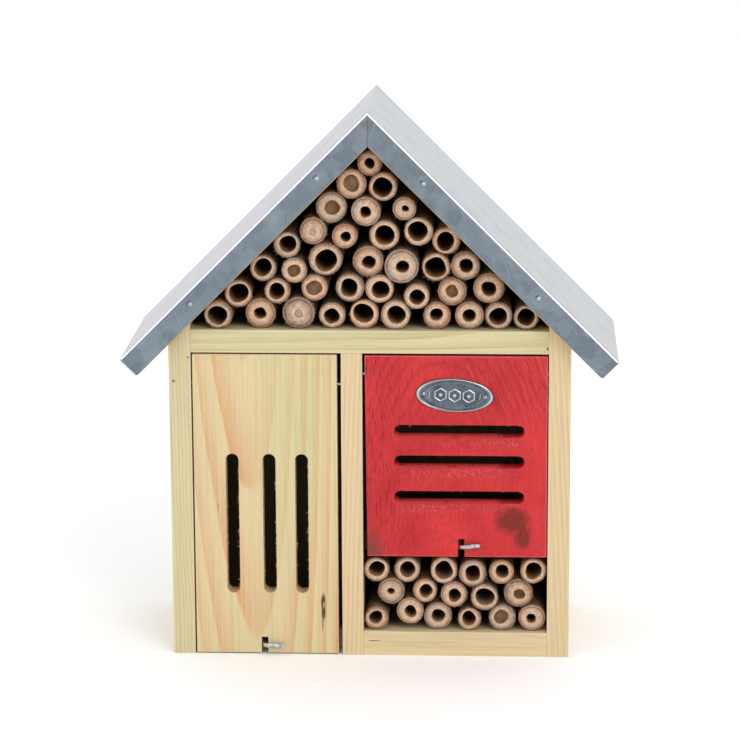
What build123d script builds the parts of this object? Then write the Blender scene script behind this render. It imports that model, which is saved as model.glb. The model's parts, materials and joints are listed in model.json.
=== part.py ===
from build123d import *
from math import cos, radians, sin, sqrt
import os

# Insect hotel: a small pine house with two swinging doors, a folded sheet
# roof and bundles of bamboo cane. Millimetres, +Z up, front faces -Y.
# Origin: middle of the outer box, on the surface that the house stands on.

# ---------------------------------------------------------------- body sizes
body_width = 200.0          # outside the two walls
body_depth = 90.0           # front edge of the boards to the back of the panel
wall_thickness = 11.0
back_thickness = 6.0
divider_thickness = 10.6
left_bay_width = 74.8
lintel_height = 156.6       # underside of the lintel
lintel_thickness = 11.6
eaves_rise = 4.4            # underside of the lintel to the outer top edge of the walls
right_floor_thickness = 12.5
left_floor_thickness = 10.5
lower_bay_height = 40.5     # right floor to the underside of the shelf
shelf_thickness = 9.4
board_edge_radius = 0.3

# ---------------------------------------------------------------- roof sizes
roof_board_thickness = 11.5
roof_board_edge_radius = 0.6
sheet_thickness = 0.5
flange_depth = 11.6         # measured square to the slope
front_overhang = 8.0
rear_overhang = 2.0
side_overhang = 23.7        # eave tip beyond the outside of the wall
fold_radius = 0.9           # outside of each fold in the sheet
corner_slit = 0.7           # opening in the sheet at each eave corner
eave_gap = 0.3              # end of a roof board to the eave flange
seam_gap = 0.3              # slit in the flanges under the ridge

# ---------------------------------------------------------------- door sizes
door_thickness = 9.5
door_edge_radius = 0.6
door_back_gap = 0.6         # back of a door to the boards behind it
pin_setback = 4.0           # pivot axis behind the front face of a door
left_pin_drop = 16.5        # pivot axis below the lintel
red_pin_drop = 11.0
left_door_hinge_gap = 0.7   # beside the left wall
left_door_divider_gap = 2.0
left_door_top_gap = 0.8
left_door_ground_gap = 0.5
red_door_divider_gap = 1.2
red_door_wall_gap = 0.5
red_door_top_gap = 1.1
red_door_drop = 0.9         # foot of the red door below the underside of its shelf
red_door_taper = 1.0        # the red door is this much narrower at its foot

left_slot_width = 6.6
left_slot_length = 72.5
left_slot_offsets = (19.3, 37.8, 54.1)   # from the left edge of the door
left_slot_rise = 31.8       # foot of the door to the foot of the slots
red_slot_height = 6.4
red_slot_length = 65.0
red_slot_drops = (38.4, 54.1, 72.4)      # top of the door to each slot's middle
red_slot_inset = 43.8       # right edge of the door to the slots' middle

# -------------------------------------------------------------- hooks, notches
hook_wire = 2.4
hook_bend_radius = 2.4      # at the middle of the wire
hook_arm = 9.6              # middle of the shank to the end of the arm
hook_standoff = 1.0         # front of a door to the back of the arm
hook_grip = 14.0            # shank inside the wood
hook_point = 2.5
hook_point_taper = 20.0     # degrees
hook_end_ease = 0.3         # round the end of the arm
notch_side_gap = 0.5        # between a hook and each side of its notch
notch_headroom = 2.6        # wire to the top of the notch
left_hook_inset = 35.4      # from the left wall
red_hook_inset = 43.2       # from the right wall
red_hook_tilt = 7.0         # the red door's hook stops this far past level

# ----------------------------------------------------------- nails and screws
pivot_shank = 1.8
pivot_head = 3.6
pivot_reach = 10.0          # pin inside the edge of the door
nail_shank = 1.6
nail_head = 3.4
nail_length = 26.0
panel_nail_length = 16.0
roof_nail_length = 18.0
nail_inset = 21.0           # wall and divider nails, from the front and from the panel
roof_nail_inset = 9.0       # roof board nails, the same way
lintel_nail_rise = 2.3      # wall nails above the underside of the lintel
panel_nail_inset = 24.0     # lowest and highest nail in each wall, from its ends
panel_nail_spacing = 40.0   # along the lintel
flush_head_height = 0.8
nail_tip = 0.1              # radius of a tip as a share of the shank's diameter
sheet_nail_shank = 1.2
sheet_nail_head = 2.6
sheet_nail_dome = 0.7
sheet_nail_length = 14.0
sheet_nail_depth = 5.5      # below the outside of the slope
ridge_nail_places = {-1: 40.5, 1: 44.0}  # ridge to the upper nail, left and right
eave_nail_places = {-1: 45.4, 1: 50.9}   # eave tip to the lower nail

# --------------------------------------------------------------- door plate
plate_width = 39.0
plate_height = 17.2
plate_thickness = 0.7
plate_rim_width = 1.3
plate_rim_height = 0.5
plate_drop = 19.9           # top of the door to the middle of the plate
plate_inset = 46.1          # right edge of the door to the middle of the plate
plate_tilt = -3.0
plate_pin_spread = 15.4     # middle of the plate to each pin
plate_pin_shank = 0.9
plate_pin_head = 1.6
plate_pin_dome = 0.3
plate_pin_length = 6.0
cell_size = 2.6             # radius of each raised hexagon on the plate
cell_gap = 0.5
cell_relief = 0.3

# -------------------------------------------------------------- hanger plate
hanger_width = 17.0
hanger_length = 44.0
hanger_thickness = 1.2
hanger_height = 214.0       # middle of the plate and its keyhole above the ground
keyhole_diameter = 9.0
keyslot_width = 4.6
keyslot_rise = 9.0          # big hole to the top of the slot
pocket_depth = 4.0          # room behind the keyhole for a screw head
pocket_margin = 1.0
hanger_screw_spread = 17.5
screw_shank = 2.2
screw_head = 4.8
screw_head_height = 0.8
screw_length = 5.4

# --------------------------------------------------------------------- canes
cane_gap = 0.02             # between canes that touch
cane_roof_gap = 0.1         # least room between a cane and the roof boards
cane_recess = 2.0           # front of the boards to the foremost cane
cane_end_gap = 0.5          # back of a cane to the panel
cane_stagger = 0.4          # step between one front end and the next one in
stagger_steps = 5           # fronts stand at this many depths in turn
stagger_stride = 3          # steps from one cane to its neighbour
cane_closed_end = 20.0      # from the knot that ends a bore to the back of the cane
knot_depth = 5.0            # where a knot lies just inside the front end
cane_edge = 0.3

# Each cane is (middle from the centre line, diameter, bore, knot near the front).
# Canes are dropped one by one and come to rest on what is under them.
gable_courses = (
    (
        (-75.0, 14.5, 8.9, False),
        (-54.0, 15.5, 5.5, False),
        (-35.0, 16.5, 0.0, False),
        (-18.5, 13.5, 7.2, False),
        (-2.5, 15.0, 9.2, False),
        (13.0, 15.0, 8.5, False),
        (33.5, 14.0, 5.8, False),
        (49.5, 14.5, 6.1, False),
        (64.0, 14.0, 8.2, False),
        (77.5, 12.5, 8.0, False),
    ),
    (
        (23.5, 13.0, 7.1, False),
        (-65.0, 14.0, 9.0, False),
        (-45.5, 13.0, 7.5, False),
        (5.0, 14.5, 8.2, False),
        (41.0, 14.5, 5.8, True),
        (-27.0, 13.5, 7.1, True),
        (59.0, 15.5, 6.8, False),
        (-9.5, 14.5, 8.2, False),
    ),
    (
        (-37.0, 13.0, 5.8, True),
        (-52.5, 13.5, 8.2, False),
        (16.0, 17.5, 5.8, False),
        (33.0, 14.5, 9.8, False),
        (47.5, 14.5, 6.4, False),
        (-21.5, 17.0, 10.2, False),
        (-0.5, 15.5, 6.1, False),
    ),
    (
        (-40.5, 13.5, 7.8, False),
        (38.0, 14.0, 8.5, False),
        (-12.0, 13.0, 4.7, False),
        (7.5, 15.0, 9.1, False),
        (24.5, 14.5, 9.1, False),
        (-27.5, 14.0, 0.0, False),
    ),
    (
        (-1.5, 15.0, 5.1, False),
        (17.5, 12.0, 3.0, False),
        (-18.5, 15.5, 6.8, True),
        (7.0, 14.5, 9.1, False),
        (-8.5, 15.0, 7.4, True),
        (0.5, 12.5, 4.7, False),
    ),
)
# The same for the bay under the red door, measured from the divider.
lower_courses = (
    (
        (53.6, 12.0, 6.8, False),
        (37.6, 14.5, 6.3, False),
        (6.6, 12.5, 6.3, False),
        (85.1, 14.0, 4.5, False),
        (23.6, 14.0, 5.6, False),
        (70.1, 14.0, 6.8, True),
    ),
    (
        (61.1, 14.0, 8.6, False),
        (45.6, 13.5, 6.1, False),
        (78.1, 15.0, 5.0, True),
        (14.1, 14.0, 3.2, False),
        (31.1, 12.5, 6.3, False),
    ),
    (
        (55.1, 14.0, 7.4, False),
        (69.6, 13.0, 6.3, False),
        (6.6, 13.0, 7.4, False),
        (22.1, 13.5, 7.4, False),
        (40.6, 14.0, 8.5, False),
        (85.6, 13.5, 7.9, False),
    ),
)

# ----------------------------------------------------------------- clearances
pin_clearance = 0.05        # round a pivot pin or a hook shank, on the radius
hole_end_gap = 0.5          # beyond the end of a pin or a hook

# ------------------------------------------------------------ worked-out places
roof_depth = front_overhang + body_depth + rear_overhang
front = -roof_depth / 2 + front_overhang
back = front + body_depth
panel_front = back - back_thickness
board_depth = panel_front - front

left_inside = -body_width / 2 + wall_thickness
right_inside = body_width / 2 - wall_thickness
divider_left = left_inside + left_bay_width
divider_right = divider_left + divider_thickness
lintel_top = lintel_height + lintel_thickness
shelf_height = right_floor_thickness + lower_bay_height
behind_doors = front + door_thickness + door_back_gap

# The ridge is a right angle, so each slope falls at 45 degrees.
slope = sin(radians(45))
eaves_height = lintel_height + eaves_rise
boards_apex = eaves_height + body_width / 2
ridge_height = boards_apex + (roof_board_thickness + sheet_thickness) / slope
slope_length = (body_width / 2 + side_overhang) / slope
roof_board_end = slope_length - sheet_thickness - eave_gap

pin_y = front + pin_setback
left_pin_height = lintel_height - left_pin_drop
red_pin_height = lintel_height - red_pin_drop

left_door_left = left_inside + left_door_hinge_gap
left_door_right = divider_left - left_door_divider_gap
left_door_foot = left_door_ground_gap
left_door_top = lintel_height - left_door_top_gap
red_door_left = divider_right + red_door_divider_gap
red_door_right = right_inside - red_door_wall_gap
red_door_foot = shelf_height - red_door_drop
red_door_top = lintel_height - red_door_top_gap

left_hook_x = left_inside + left_hook_inset
left_hook_height = left_floor_thickness / 2
red_hook_x = right_inside - red_hook_inset
red_hook_height = shelf_height + shelf_thickness / 2
arm_y = front - hook_standoff - hook_wire / 2
notch_width = hook_wire + 2 * notch_side_gap
hook_end_y = behind_doors + hook_grip

plate_x = red_door_right - plate_inset
plate_z = red_door_top - plate_drop


# -------------------------------------------------------------------- helpers
def box_between(low, high, radius=0.0):
    """A block from one corner to the opposite one, with its edges eased."""
    with BuildPart() as block:
        with Locations(tuple((a + b) / 2 for a, b in zip(low, high))):
            Box(*(b - a for a, b in zip(low, high)))
        if radius:
            fillet(block.edges(), radius=radius)
    return block.part


def flush_nail(shank, head, length):
    """A nail along -Z with the top of its flat head on Z = 0."""
    with BuildPart() as nail:
        with BuildSketch(Plane.XZ):
            with BuildLine():
                Polyline(
                    (0, 0),
                    (head / 2, 0),
                    (shank / 2, -flush_head_height),
                    (shank / 2, shank - length),
                    (0, -length),
                    close=True,
                )
            make_face()
        revolve(axis=Axis.Z)
    return nail.part


def domed_nail(shank, head, dome, length):
    """A nail along -Z whose domed head, part of a sphere, stands on Z = 0."""
    ball = ((head / 2) ** 2 + dome**2) / (2 * dome)
    with BuildPart() as nail:
        with Locations((0, 0, dome - ball)):
            Sphere(ball)
        split(bisect_by=Plane.XY, keep=Keep.TOP)
        with BuildSketch(Plane.XY):
            Circle(shank / 2)
        extrude(amount=shank - length)
        with Locations((0, 0, shank / 2 - length)):
            Cone(shank * nail_tip, shank / 2, shank)
    return nail.part


def slope_plane(side):
    """The XZ section of one slope: X runs down from the ridge, Y points out of the roof."""
    return Plane(
        origin=(0, 0, ridge_height),
        x_dir=(side * slope, 0, -slope),
        z_dir=(0, -side, 0),
    )


def on_slope(side, along, depth, y):
    """A point at a distance from the ridge and a depth under the outside of the sheet."""
    x = side * (along * slope - depth * slope)
    return (x, y, ridge_height - along * slope - depth * slope)


def roof_board(side, start):
    """A board under one slope, from a distance below the ridge down to the eave."""
    with BuildPart() as board:
        with BuildSketch(slope_plane(side)):
            with Locations((start, -sheet_thickness - roof_board_thickness)):
                Rectangle(roof_board_end - start, roof_board_thickness, align=Align.MIN)
        extrude(amount=roof_depth / 2 - sheet_thickness, both=True)
        fillet(board.edges(), radius=roof_board_edge_radius)
    return board.part


def places_along(points, turn):
    """The same turn at each point."""
    return [Location(point, turn) for point in points]


def drop_canes(courses, start, floor, fits):
    """Lay the canes in turn; each sinks until it meets the floor or canes laid before it."""
    laid = []
    piles = []
    for course in courses:
        pile = []
        for offset, diameter, bore, knotted in course:
            x = start + offset
            radius = diameter / 2
            z = floor + radius + cane_gap
            for other_x, other_z, other_radius in laid:
                reach = radius + other_radius + cane_gap
                if abs(x - other_x) < reach:
                    z = max(z, other_z + sqrt(reach**2 - (x - other_x) ** 2))
            if fits(x, z, radius):
                laid.append((x, z, radius))
                pile.append((x, z, diameter, bore, knotted))
        piles.append(pile)
    return piles


def under_the_roof(x, z, radius):
    return z + abs(x) + radius / slope + cane_roof_gap <= boards_apex


def in_the_lower_bay(x, z, radius):
    inside = divider_right + radius <= x <= right_inside - radius
    return inside and z + radius + cane_roof_gap <= shelf_height


def cane_bundle(pile):
    """Separate canes that lie front to back, each bored from its front end."""
    with BuildPart() as bundle:
        for number, (x, z, diameter, bore, knotted) in enumerate(pile):
            step = number * stagger_stride % stagger_steps
            end = front + cane_recess + cane_stagger * step
            length = panel_front - cane_end_gap - end
            with BuildSketch(Plane.XZ.offset(-end)):
                with Locations((x, z)):
                    Circle(diameter / 2)
            extrude(amount=-length)
            if bore:
                with BuildSketch(Plane.XZ.offset(-end)):
                    with Locations((x, z)):
                        Circle(bore / 2)
                depth = knot_depth if knotted else length - cane_closed_end
                extrude(amount=-depth, mode=Mode.SUBTRACT)
        behind_ends = front + cane_recess + cane_stagger * stagger_steps
        ends = bundle.faces().filter_by(lambda face: face.center().Y < behind_ends)
        chamfer(ends.filter_by(Axis.Y).edges(), length=cane_edge)
    return bundle.part


def finish(piece, label):
    """Name a finished piece and write its file."""
    piece.label = label
    export_step(piece, f"parts/{label}.step")


os.makedirs("parts", exist_ok=True)

# ------------------------------------------------------------ nails and places
side_nail = flush_nail(nail_shank, nail_head, nail_length)
panel_nail = flush_nail(nail_shank, nail_head, panel_nail_length)
roof_nail = flush_nail(nail_shank, nail_head, roof_nail_length)
sheet_nail = domed_nail(sheet_nail_shank, sheet_nail_head, sheet_nail_dome, sheet_nail_length)
plate_pin = domed_nail(plate_pin_shank, plate_pin_head, plate_pin_dome, plate_pin_length)
hanger_screw = domed_nail(screw_shank, screw_head, screw_head_height, screw_length)
left_wall_pin = flush_nail(
    pivot_shank, pivot_head, wall_thickness + left_door_hinge_gap + pivot_reach
)
left_divider_pin = flush_nail(
    pivot_shank, pivot_head, divider_thickness + left_door_divider_gap + pivot_reach
)
red_divider_pin = flush_nail(
    pivot_shank, pivot_head, divider_thickness + red_door_divider_gap + pivot_reach
)
red_wall_pin = flush_nail(
    pivot_shank, pivot_head, wall_thickness + red_door_wall_gap + pivot_reach
)

from_left = (0, -90, 0)     # a nail driven towards +X
from_right = (0, 90, 0)     # towards -X
from_front = (90, 0, 0)     # towards +Y
from_back = (-90, 0, 0)     # towards -Y

nail_rows = (front + nail_inset, panel_front - nail_inset)
roof_nail_rows = (front + roof_nail_inset, panel_front - roof_nail_inset)
lintel_middle = lintel_height + lintel_thickness / 2
shelf_middle = shelf_height + shelf_thickness / 2
lintel_nail_height = lintel_height + lintel_nail_rise
left_nail_heights = (left_floor_thickness / 2, lintel_nail_height)
right_nail_heights = (right_floor_thickness / 2, shelf_middle, lintel_nail_height)
left_wall_nails = places_along(
    [(-body_width / 2, y, z) for y in nail_rows for z in left_nail_heights], from_left
)
right_wall_nails = places_along(
    [(body_width / 2, y, z) for y in nail_rows for z in right_nail_heights], from_right
)
divider_side_nails = places_along(
    [(divider_left, y, z) for y in nail_rows for z in right_nail_heights[:2]], from_left
)
divider_middle = (divider_left + divider_right) / 2
divider_top_nails = places_along(
    [(divider_middle, y, lintel_top) for y in nail_rows], (0, 0, 0)
)
wall_middle = body_width / 2 - wall_thickness / 2
panel_nail_heights = (panel_nail_inset, eaves_height / 2, eaves_height - panel_nail_inset)
panel_nail_points = [(side * wall_middle, back, z) for side in (-1, 1) for z in panel_nail_heights]
panel_nail_points += [
    (step * panel_nail_spacing, back, lintel_middle) for step in (-1.5, -0.5, 0.5, 1.5)
]
left_bay_middle = (left_inside + divider_left) / 2
right_bay_middle = (divider_right + right_inside) / 2
panel_nail_points += [
    (left_bay_middle, back, left_floor_thickness / 2),
    (right_bay_middle, back, right_floor_thickness / 2),
    (right_bay_middle, back, shelf_middle),
]
panel_nails = places_along(panel_nail_points, from_back)


def wall_top_nails(side):
    """Nails square to a slope, through a roof board into the bevelled top of the wall."""
    along = wall_middle / slope + sheet_thickness + roof_board_thickness
    points = [on_slope(side, along, sheet_thickness, y) for y in roof_nail_rows]
    return places_along(points, (0, side * 45, 0))


# At the ridge the left board laps the end of the right board and is nailed into it.
ridge_nail_drop = sheet_thickness + roof_board_thickness / 2
ridge_points = [on_slope(-1, ridge_nail_drop, sheet_thickness, y) for y in roof_nail_rows]
roof_board_nails = wall_top_nails(-1) + wall_top_nails(1)
roof_board_nails += places_along(ridge_points, (0, -45, 0))


def sheet_nail_points(y):
    """Two nails on each side of the ridge, on the middle line of a flange."""
    points = []
    for side in (-1, 1):
        for along in (ridge_nail_places[side], slope_length - eave_nail_places[side]):
            points.append(on_slope(side, along, sheet_nail_depth, y))
    return points


front_sheet_nails = places_along(sheet_nail_points(-roof_depth / 2), from_front)
rear_sheet_nails = places_along(sheet_nail_points(roof_depth / 2), from_back)

left_wall_pin_place = Location((-body_width / 2, pin_y, left_pin_height), from_left)
left_divider_pin_place = Location((divider_right, pin_y, left_pin_height), from_right)
red_divider_pin_place = Location((divider_left, pin_y, red_pin_height), from_left)
red_wall_pin_place = Location((body_width / 2, pin_y, red_pin_height), from_right)

plate_place = Plane(
    origin=(plate_x, front, plate_z),
    x_dir=(cos(radians(plate_tilt)), 0, sin(radians(plate_tilt))),
    z_dir=(0, -1, 0),
)
plate_pin_places = [
    plate_place.location * Location((side * plate_pin_spread, 0, plate_thickness))
    for side in (-1, 1)
]
hanger_screw_places = places_along(
    [
        (0, back + hanger_thickness, hanger_height + side * hanger_screw_spread)
        for side in (-1, 1)
    ],
    from_back,
)


def cut_nails(places, nail):
    """Open the holes that nails fill, inside the part that is being built."""
    with Locations(*places):
        add(nail, mode=Mode.SUBTRACT)


# ---------------------------------------------------------------------- walls
def wall_blank(side):
    """An upright board whose top is bevelled to lie under the roof board."""
    outer = side * body_width / 2
    inner = side * (body_width / 2 - wall_thickness)
    with BuildPart() as blank:
        with BuildSketch(Plane.XZ.offset(-front)):
            with BuildLine():
                Polyline(
                    (outer, 0),
                    (inner, 0),
                    (inner, eaves_height + wall_thickness),
                    (outer, eaves_height),
                    close=True,
                )
            make_face()
        extrude(amount=-board_depth)
        fillet(blank.edges(), radius=board_edge_radius)
    return blank.part


left_wall_blank = wall_blank(-1)
right_wall_blank = wall_blank(1)

with BuildPart() as left_wall:
    add(left_wall_blank)
    cut_nails(left_wall_nails, side_nail)
    cut_nails(panel_nails, panel_nail)
    cut_nails(roof_board_nails, roof_nail)
    cut_nails([left_wall_pin_place], left_wall_pin)
finish(left_wall.part, "left_wall")

with BuildPart() as right_wall:
    add(right_wall_blank)
    cut_nails(right_wall_nails, side_nail)
    cut_nails(panel_nails, panel_nail)
    cut_nails(roof_board_nails, roof_nail)
    cut_nails([red_wall_pin_place], red_wall_pin)
finish(right_wall.part, "right_wall")

# -------------------------------------------------------- divider and shelves
divider_blank = box_between(
    (divider_left, front, 0), (divider_right, panel_front, lintel_height), board_edge_radius
)
with BuildPart() as divider:
    add(divider_blank)
    cut_nails(divider_side_nails, side_nail)
    cut_nails(divider_top_nails, side_nail)
    cut_nails([left_divider_pin_place], left_divider_pin)
    cut_nails([red_divider_pin_place], red_divider_pin)
finish(divider.part, "divider")

lintel_blank = box_between(
    (left_inside, front, lintel_height), (right_inside, panel_front, lintel_top), board_edge_radius
)
with BuildPart() as lintel:
    add(lintel_blank)
    cut_nails(left_wall_nails + right_wall_nails, side_nail)
    cut_nails(divider_top_nails, side_nail)
    cut_nails(panel_nails, panel_nail)
finish(lintel.part, "lintel")


def hook_hole(x, z):
    """The pilot hole that a hook turns in, open towards the door."""
    with BuildPart() as hole:
        with BuildSketch(Plane.XZ.offset(-behind_doors)):
            with Locations((x, z)):
                Circle(hook_wire / 2 + pin_clearance)
        extrude(amount=-hook_grip - hole_end_gap)
    return hole.part


left_floor_blank = box_between(
    (left_inside, behind_doors, 0),
    (divider_left, panel_front, left_floor_thickness),
    board_edge_radius,
)
left_hook_hole = hook_hole(left_hook_x, left_hook_height)
with BuildPart() as left_floor:
    add(left_floor_blank)
    cut_nails(left_wall_nails, side_nail)
    cut_nails(panel_nails, panel_nail)
    add(left_hook_hole, mode=Mode.SUBTRACT)
finish(left_floor.part, "left_floor")

right_floor_blank = box_between(
    (divider_right, front, 0), (right_inside, panel_front, right_floor_thickness), board_edge_radius
)
with BuildPart() as right_floor:
    add(right_floor_blank)
    cut_nails(right_wall_nails + divider_side_nails, side_nail)
    cut_nails(panel_nails, panel_nail)
finish(right_floor.part, "right_floor")

shelf_blank = box_between(
    (divider_right, behind_doors, shelf_height),
    (right_inside, panel_front, shelf_height + shelf_thickness),
    board_edge_radius,
)
red_hook_hole = hook_hole(red_hook_x, red_hook_height)
with BuildPart() as red_door_shelf:
    add(shelf_blank)
    cut_nails(right_wall_nails + divider_side_nails, side_nail)
    cut_nails(panel_nails, panel_nail)
    add(red_hook_hole, mode=Mode.SUBTRACT)
finish(red_door_shelf.part, "red_door_shelf")

# ----------------------------------------------------------------- back panel
with BuildPart() as back_panel:
    with BuildSketch(Plane.XZ.offset(-panel_front)):
        with BuildLine():
            Polyline(
                (-body_width / 2, 0),
                (body_width / 2, 0),
                (body_width / 2, eaves_height),
                (0, boards_apex),
                (-body_width / 2, eaves_height),
                close=True,
            )
        make_face()
    extrude(amount=-back_thickness)
    with BuildSketch(Plane.XZ.offset(-back)):
        with Locations((0, hanger_height)):
            SlotOverall(
                keyslot_rise + keyhole_diameter + 2 * pocket_margin,
                keyhole_diameter + 2 * pocket_margin,
                rotation=90,
            )
    extrude(amount=pocket_depth, mode=Mode.SUBTRACT)
    cut_nails(panel_nails, panel_nail)
    cut_nails(hanger_screw_places, hanger_screw)
finish(back_panel.part, "back_panel")

# ----------------------------------------------------------------- roof boards
left_board_blank = roof_board(-1, sheet_thickness)
right_board_blank = roof_board(1, sheet_thickness + roof_board_thickness)

with BuildPart() as left_roof_board:
    add(left_board_blank)
    cut_nails(roof_board_nails, roof_nail)
    cut_nails(front_sheet_nails + rear_sheet_nails, sheet_nail)
finish(left_roof_board.part, "left_roof_board")

with BuildPart() as right_roof_board:
    add(right_board_blank)
    cut_nails(roof_board_nails, roof_nail)
    cut_nails(front_sheet_nails + rear_sheet_nails, sheet_nail)
finish(right_roof_board.part, "right_roof_board")

# ------------------------------------------------------------------ roof sheet
# Each half is a channel with a flange at the front and the back, and a third
# flange folded down along the eave; the two halves meet on the ridge.
channel_end = slope_length - fold_radius
inner_fold = fold_radius - sheet_thickness
eave_flange_width = roof_depth - 2 * (sheet_thickness + corner_slit)

# X runs along the ridge, Y out of the roof; it starts above the ridge, so that
# the flanges reach the mitre.
above_ridge = Plane(
    origin=(-flange_depth * slope, 0, ridge_height + flange_depth * slope),
    x_dir=(0, 1, 0),
    z_dir=(slope, 0, -slope),
)

with BuildPart() as roof_sheet:
    with BuildSketch(above_ridge) as channel:
        Rectangle(roof_depth, flange_depth, align=(Align.CENTER, Align.MAX))
        fillet(channel.vertices().group_by(Axis.Y)[-1], radius=fold_radius)
    extrude(amount=flange_depth + channel_end)
    with BuildSketch(above_ridge) as hollow:
        with Locations((0, -sheet_thickness)):
            Rectangle(
                roof_depth - 2 * sheet_thickness, flange_depth, align=(Align.CENTER, Align.MAX)
            )
        fillet(hollow.vertices().group_by(Axis.Y)[-1], radius=inner_fold)
    extrude(amount=flange_depth + channel_end, mode=Mode.SUBTRACT)
    split(bisect_by=Plane.YZ, keep=Keep.TOP)
    with BuildSketch(slope_plane(1)) as eave:
        with Locations((slope_length, 0)):
            Rectangle(2 * fold_radius, flange_depth, align=Align.MAX)
        fillet(eave.vertices().sort_by(Axis.X)[-2:].sort_by(Axis.Y)[-1], radius=fold_radius)
        with Locations((slope_length - sheet_thickness, -sheet_thickness)):
            Rectangle(2 * fold_radius, flange_depth, align=Align.MAX, mode=Mode.SUBTRACT)
    extrude(amount=eave_flange_width / 2, both=True)
    mirror(about=Plane.YZ)
    with Locations((0, 0, ridge_height - (sheet_thickness + fold_radius) / slope)):
        Box(
            seam_gap,
            roof_depth + 2 * sheet_thickness,
            2 * flange_depth / slope,
            align=(Align.CENTER, Align.CENTER, Align.MAX),
            mode=Mode.SUBTRACT,
        )
    cut_nails(front_sheet_nails + rear_sheet_nails, sheet_nail)
finish(roof_sheet.part, "roof_sheet")


# ------------------------------------------------------------ nails as pieces
def nail_group(label, sets):
    """Nails that share one node, each a solid of its own."""
    with BuildPart() as group:
        for places, nail in sets:
            with Locations(*places):
                add(nail)
    finish(group.part, label)


nail_group("wall_nails", [(left_wall_nails + right_wall_nails, side_nail)])
nail_group("divider_nails", [(divider_side_nails + divider_top_nails, side_nail)])
nail_group("back_panel_nails", [(panel_nails, panel_nail)])
nail_group("roof_board_nails", [(roof_board_nails, roof_nail)])
nail_group("front_sheet_nails", [(front_sheet_nails, sheet_nail)])
nail_group("rear_sheet_nails", [(rear_sheet_nails, sheet_nail)])
nail_group(
    "left_door_pivot_nails",
    [([left_wall_pin_place], left_wall_pin), ([left_divider_pin_place], left_divider_pin)],
)
nail_group(
    "red_door_pivot_nails",
    [([red_divider_pin_place], red_divider_pin), ([red_wall_pin_place], red_wall_pin)],
)
nail_group("door_plate_pins", [(plate_pin_places, plate_pin)])
nail_group("hanger_screws", [(hanger_screw_places, hanger_screw)])


# ---------------------------------------------------------------------- doors
def door_blank(foot_left, foot_right, foot, top_left, top_right, top):
    """A door board with eased edges, given by its front corners."""
    with BuildPart() as blank:
        with BuildSketch(Plane.XZ.offset(-front)):
            with BuildLine():
                Polyline(
                    (foot_left, foot), (foot_right, foot), (top_right, top), (top_left, top), close=True
                )
            make_face()
        extrude(amount=-door_thickness)
        fillet(blank.edges(), radius=door_edge_radius)
    return blank.part


def pin_hole(edge, towards, height):
    """The bore for a pivot pin, from outside the edge of a door into it."""
    depth = pivot_reach + hole_end_gap
    with BuildPart() as hole:
        with BuildSketch(Plane.YZ.offset(edge - towards * pivot_shank)):
            with Locations((pin_y, height)):
                Circle(pivot_shank / 2 + pin_clearance)
        extrude(amount=towards * (depth + pivot_shank))
    return hole.part


def cut_through_door():
    """Cut the sketch just drawn on the front of a door right through it."""
    extrude(amount=-door_thickness, mode=Mode.SUBTRACT)


left_door_blank = door_blank(
    left_door_left, left_door_right, left_door_foot, left_door_left, left_door_right, left_door_top
)
left_pin_holes = [
    pin_hole(left_door_left, 1, left_pin_height),
    pin_hole(left_door_right, -1, left_pin_height),
]
left_notch_top = left_hook_height + hook_wire / 2 + notch_headroom

with BuildPart() as left_door:
    add(left_door_blank)
    with BuildSketch(Plane.XZ.offset(-front)):
        slot_middle = left_door_foot + left_slot_rise + left_slot_length / 2
        with Locations(*((left_door_left + offset, slot_middle) for offset in left_slot_offsets)):
            SlotOverall(left_slot_length, left_slot_width, rotation=90)
        with Locations((left_hook_x, left_notch_top)):
            Rectangle(notch_width, left_notch_top, align=(Align.CENTER, Align.MAX))
    cut_through_door()
    add(left_pin_holes, mode=Mode.SUBTRACT)
finish(left_door.part, "left_door")

red_door_blank = door_blank(
    red_door_left + red_door_taper,
    red_door_right,
    red_door_foot,
    red_door_left,
    red_door_right,
    red_door_top,
)
red_pin_holes = [
    pin_hole(red_door_left, 1, red_pin_height),
    pin_hole(red_door_right, -1, red_pin_height),
]
red_notch_top = red_hook_height + hook_wire / 2 + notch_headroom

with BuildPart() as red_door:
    add(red_door_blank)
    with BuildSketch(Plane.XZ.offset(-front)):
        slots_x = red_door_right - red_slot_inset
        with Locations(*((slots_x, red_door_top - drop) for drop in red_slot_drops)):
            SlotOverall(red_slot_length, red_slot_height)
        with Locations((red_hook_x, red_notch_top)):
            notch_depth = red_notch_top - red_door_foot + door_edge_radius
            Rectangle(notch_width, notch_depth, align=(Align.CENTER, Align.MAX))
    cut_through_door()
    add(red_pin_holes, mode=Mode.SUBTRACT)
    cut_nails(plate_pin_places, plate_pin)
finish(red_door.part, "red_door")

# ----------------------------------------------------------------- door plate
cell_pitch = cell_size * sqrt(3) + cell_gap
with BuildPart() as door_plate:
    with BuildSketch(plate_place):
        Ellipse(plate_width / 2, plate_height / 2)
    extrude(amount=plate_thickness)
    with BuildSketch(plate_place.offset(plate_thickness)):
        Ellipse(plate_width / 2, plate_height / 2)
        Ellipse(
            plate_width / 2 - plate_rim_width,
            plate_height / 2 - plate_rim_width,
            mode=Mode.SUBTRACT,
        )
    extrude(amount=plate_rim_height)
    with BuildSketch(plate_place.offset(plate_thickness)):
        with Locations((-cell_pitch, 0), (0, 0), (cell_pitch, 0)):
            RegularPolygon(cell_size, 6, rotation=30)
    extrude(amount=cell_relief)
    cut_nails(plate_pin_places, plate_pin)
finish(door_plate.part, "door_plate")


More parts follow.
